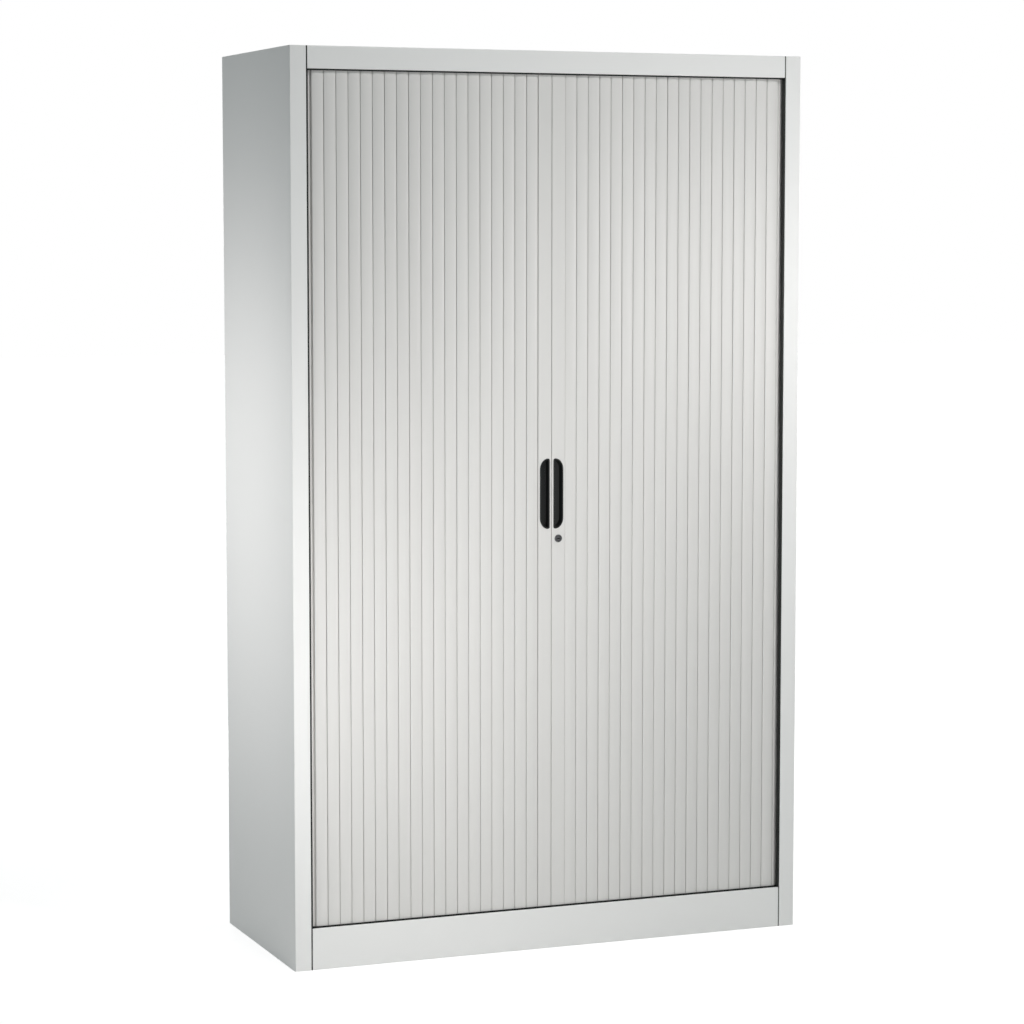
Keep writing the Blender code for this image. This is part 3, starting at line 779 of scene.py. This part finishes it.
# %% [markdown]
# The first slat of each curtain, the lead slat, is wider and stiffer than the others: an open
# channel that carries the grip and the lock. On the CAD model it is three channels that push
# into one another, but on the real door no joint can be seen, so here it is one channel with
# softly rounded long edges.
#
# The hole for the grip could be cut out with a boolean, which leaves long thin faces. Instead
# both the grip and the channel are drawn with outlines: a rectangle with a round corner at each
# end of its outer and inner side. Drawn in and pushed back step by step, an outline becomes a
# wall, a rounded edge or a floor. Each step is one ring of points, and all outlines have the
# same number of points, so that the ring round the grip's hole joins the ring round the slat.

# %% Outline helpers
corner_steps = 12
round_steps = 6
least_corner = 0.0002
sharp = (0, 0)


def outline_ring(box, outer_corner, inner_corner, depth, side):
    """A rectangle with rounded corners at a depth: four quarter ellipses, joined by lines.

    The box is near, far, low and high. Each corner is its size across and its size up.
    """
    near, far, low, high = box
    outer = np.maximum(outer_corner, least_corner)
    inner = np.maximum(inner_corner, least_corner)
    centres = np.array(
        (
            (far - outer[0], low + outer[1]),
            (far - outer[0], high - outer[1]),
            (near + inner[0], high - inner[1]),
            (near + inner[0], low + inner[1]),
        )
    )
    sizes = np.array((outer, outer, inner, inner))
    quarter_turn = np.linspace(0, math.pi / 2, corner_steps)
    angles = quarter_turn + (np.arange(4)[:, None] - 1) * math.pi / 2
    x = (centres[:, :1] + sizes[:, :1] * np.cos(angles)).ravel()
    z = (centres[:, 1:] + sizes[:, 1:] * np.sin(angles)).ravel()
    return np.stack((side * x, np.full(x.shape, depth), z), axis=-1)


def quarter(start, end, along_face):
    """Inset and depth pairs on a quarter ellipse from start to end, without the start.

    It sets off along the face if along_face is true, and down the wall if it is not. The share
    of the way is the sine of the turn in the first direction, and one less its cosine in the
    other.
    """
    turn = np.linspace(0, math.pi / 2, round_steps)[1:]
    inset_share, depth_share = np.sin(turn), 1 - np.cos(turn)
    if not along_face:
        inset_share, depth_share = depth_share, inset_share
    inset = start[0] + (end[0] - start[0]) * inset_share
    depth = start[1] + (end[1] - start[1]) * depth_share
    return list(zip(inset, depth))


print("points in an outline:", 4 * corner_steps)

# %% Outlines of the grip and the lock
grip_box = (0.0045, 0.0277, 0.938, 1.093)
grip_outer_corner = (0.019, 0.024)
grip_inner_corner = (0.0042, 0.0042)
lock_middle = (0.0161, 0.916)


def grip_ring(inset, depth, side):
    """The grip's D outline at a depth, drawn in by inset on every side."""
    drawn_in = np.array(grip_box) + inset * np.array((1, -1, 1, -1))
    outer = np.array(grip_outer_corner) - inset
    inner = np.array(grip_inner_corner) - inset
    return outline_ring(drawn_in, outer, inner, depth, side)


def round_ring(radius, depth):
    """A circle round the lock's axis, with as many points as an outline.

    The points are turned by half a step, so that each lies beside a point of an outline.
    """
    count = 4 * corner_steps
    angles = (np.arange(count) + 1 / 2) * math.tau / count - math.pi / 2
    x = lock_middle[0] + radius * np.cos(angles)
    z = lock_middle[1] + radius * np.sin(angles)
    return np.stack((x, np.full(count, depth), z), axis=-1)


print("a grip is", round(grip_box[3] - grip_box[2], 4), "m high")

# %% Build the lead slats
lead_near = 0.0005
lead_far = 0.0317
lead_low = 0.0741
lead_high = 1.9657
lead_parting = 0.931
lead_wall = 0.0015
lead_round = 0.0013
lead_support = 0.0004
lead_nodes = ("lower_lead_slat", "upper_lead_slat", "grip_carrier")
slat_back = -0.2325
hole_inset = 0.0012
barrel_radius = 0.0070


def slat_ring(low, high, side, inset, end_inset, depth):
    """The lead slat's outline, drawn in by inset at the long edges and end_inset at the ends."""
    box = (lead_near + inset, lead_far - inset, low + end_inset, high - end_inset)
    return outline_ring(box, sharp, sharp, depth, side)


def make_lead_slat(side, name, low, high, hole):
    """An open channel from low to high, whose face has a hole.

    From the hole the rings run over the face, round the long edges, down the outside, over the
    rim of the open back, up the inside and back under the face to the hole.
    """
    slat = partial(slat_ring, low, high, side)
    inside_face = slat_face + lead_wall
    edge = quarter((lead_round, slat_face), (0, slat_face + lead_round), along_face=True)
    rings = [hole(slat_face), slat(lead_round + lead_support, 0, slat_face)]
    rings += [slat(lead_round, 0, slat_face)]
    rings += [slat(inset, 0, depth) for inset, depth in edge]
    rings += [slat(0, 0, slat_back), slat(lead_wall, lead_wall, slat_back)]
    rings += [slat(lead_wall, lead_wall, inside_face), hole(inside_face)]
    rings = np.array(rings)
    door = door_names[side]
    piece = shell(f"{door}_{name}", rings, f"{door}_door", "slat_plastic", closed=True)
    smooth(piece, sharp_degrees=40)
    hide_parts(*(f"{door}_{node}" for node in lead_nodes))
    print(piece.name, "made")


left_grip_hole = partial(grip_ring, hole_inset, side=-1)
right_grip_hole = partial(grip_ring, hole_inset, side=1)
lock_hole = partial(round_ring, barrel_radius + clearance)
make_lead_slat(-1, "lead_slat", lead_low, lead_high, left_grip_hole)
make_lead_slat(1, "lead_slat_top", lead_parting, lead_high, right_grip_hole)
make_lead_slat(1, "lead_slat_foot", lead_low, lead_parting, lock_hole)

# %% [markdown]
# The grips are black moulded cups, let into the two lead slats back to back. Seen from the
# front each is a D: nearly square corners at the meeting line, tall round ones outside. A thin
# rounded rim lies on the slat, and behind it the wall goes down to a flat floor, deep enough
# for the finger tips. Bevels on a hollowed block would give such a rim too, but run into each
# other where the wall is thin. With rings, each edge gets its own rounding.

# %% Build the grips
rim_height = 0.0010
rim_outer_round = 0.0006
rim_inner_round = 0.0008
cup_inset = 0.0015
cup_wall = 0.0015
cup_depth = 0.014
cup_draft = 0.0006
floor_round = 0.0020


def make_grip(side):
    """Cup with its rim: back, outer wall, rounded rim, pocket wall and rounded floor."""
    rim_back = slat_face - clearance
    rim_front = rim_back - rim_height
    rim_side = (0, rim_front + rim_outer_round)
    floor_depth = slat_face + cup_depth
    pocket = cup_inset + cup_wall
    pocket_edge = (pocket - rim_inner_round, rim_front)
    foot = pocket + cup_draft
    foot_edge = (foot, floor_depth - floor_round)

    sections = [(cup_inset + cup_draft, floor_depth + cup_wall), (cup_inset, rim_back)]
    sections += [(0, rim_back), rim_side]
    sections += quarter(rim_side, (rim_outer_round, rim_front), along_face=False)
    sections += [pocket_edge]
    sections += quarter(pocket_edge, (pocket, rim_front + rim_inner_round), along_face=True)
    sections += [foot_edge]
    sections += quarter(foot_edge, (foot + floor_round, floor_depth), along_face=False)
    rings = np.array([grip_ring(inset, depth, side) for inset, depth in sections])
    door = door_names[side]
    grip = shell(f"{door}_grip_cup", rings, f"{door}_door", "black_plastic")
    smooth(grip, sharp_degrees=40)
    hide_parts(f"{door}_grip")
    print(grip.name, "made")


for side in door_names:
    make_grip(side)

# %% [markdown]
# The lock is a small cylinder lock in the right lead slat, in dark nickel. Its bezel is a
# turned ring that stands two and a half millimetres proud, and the plug inside it carries the
# keyhole. A turned part is a profile carried round an axis: each point of it becomes a circle.
# The keyhole could be a dark mark on the plug, but a mark has no edge that catches the light.
# It is a ring too, a narrow rectangle, so the plug's face runs from the circle of its edge to
# the keyhole's outline, and the keyhole's wall goes straight in. That wall is painted near
# black, as painted shade for the dark inside of the hole.

# %% Build the bezel
bezel_radius = 0.0085
bezel_height = 0.0025
bezel_round = 0.0011
bore_radius = 0.0050
bore_round = 0.0008

bezel_front = slat_face - bezel_height
seat = slat_face - clearance
barrel_back = slat_back - clearance
outer_edge = (bezel_radius, bezel_front + bezel_round)
bore_edge = (bore_radius + bore_round, bezel_front)
profile = [(bore_radius, barrel_back), (barrel_radius, barrel_back)]
profile += [(barrel_radius, seat), (bezel_radius, seat), outer_edge]
profile += quarter(outer_edge, (bezel_radius - bezel_round, bezel_front), along_face=False)
profile += [bore_edge]
profile += quarter(bore_edge, (bore_radius, bezel_front + bore_round), along_face=True)
rings = np.array([round_ring(radius, depth) for radius, depth in profile])
bezel = shell("lock_bezel", rings, "right_door", "lock_metal", closed=True)
smooth(bezel, sharp_degrees=40)
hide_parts("lock_housing")
print(bezel.name, "made")

# %% Build the plug
plug_radius = 0.0047
plug_recess = 0.0010
plug_edge = 0.0003
keyhole_size = (0.0070, 0.0022)
keyhole_lip = 0.0001
keyhole_depth = 0.0050
# one on the keyhole's wall rings, which are painted near black as painted shade
hole_shades = (0, 0, 0, 0, 1, 1)


def keyhole_ring(depth):
    """The keyhole's level outline round the lock's axis, at a depth."""
    half_long, half_wide = keyhole_size[0] / 2, keyhole_size[1] / 2
    x, z = lock_middle
    box = (x - half_long, x + half_long, z - half_wide, z + half_wide)
    return outline_ring(box, sharp, sharp, depth, 1)


plug_face = bezel_front + plug_recess
rings = [round_ring(plug_radius, slat_back), round_ring(plug_radius, plug_face + plug_edge)]
rings += [round_ring(plug_radius - plug_edge, plug_face), keyhole_ring(plug_face)]
rings += [keyhole_ring(plug_face + keyhole_lip), keyhole_ring(plug_face + keyhole_depth)]
plug = shell("lock_keyway", np.array(rings), "lock", "lock_metal")
# hole_shade paints the keyhole's walls near black: painted shade for the hole's dark inside
in_hole = np.repeat(hole_shades, 4 * corner_steps).astype(np.float32)
plug.data.attributes.new("hole_shade", "FLOAT", "POINT").data.foreach_set("value", in_hole)
smooth(plug, sharp_degrees=30)
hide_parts("lock_plug")
print(plug.name, "made")
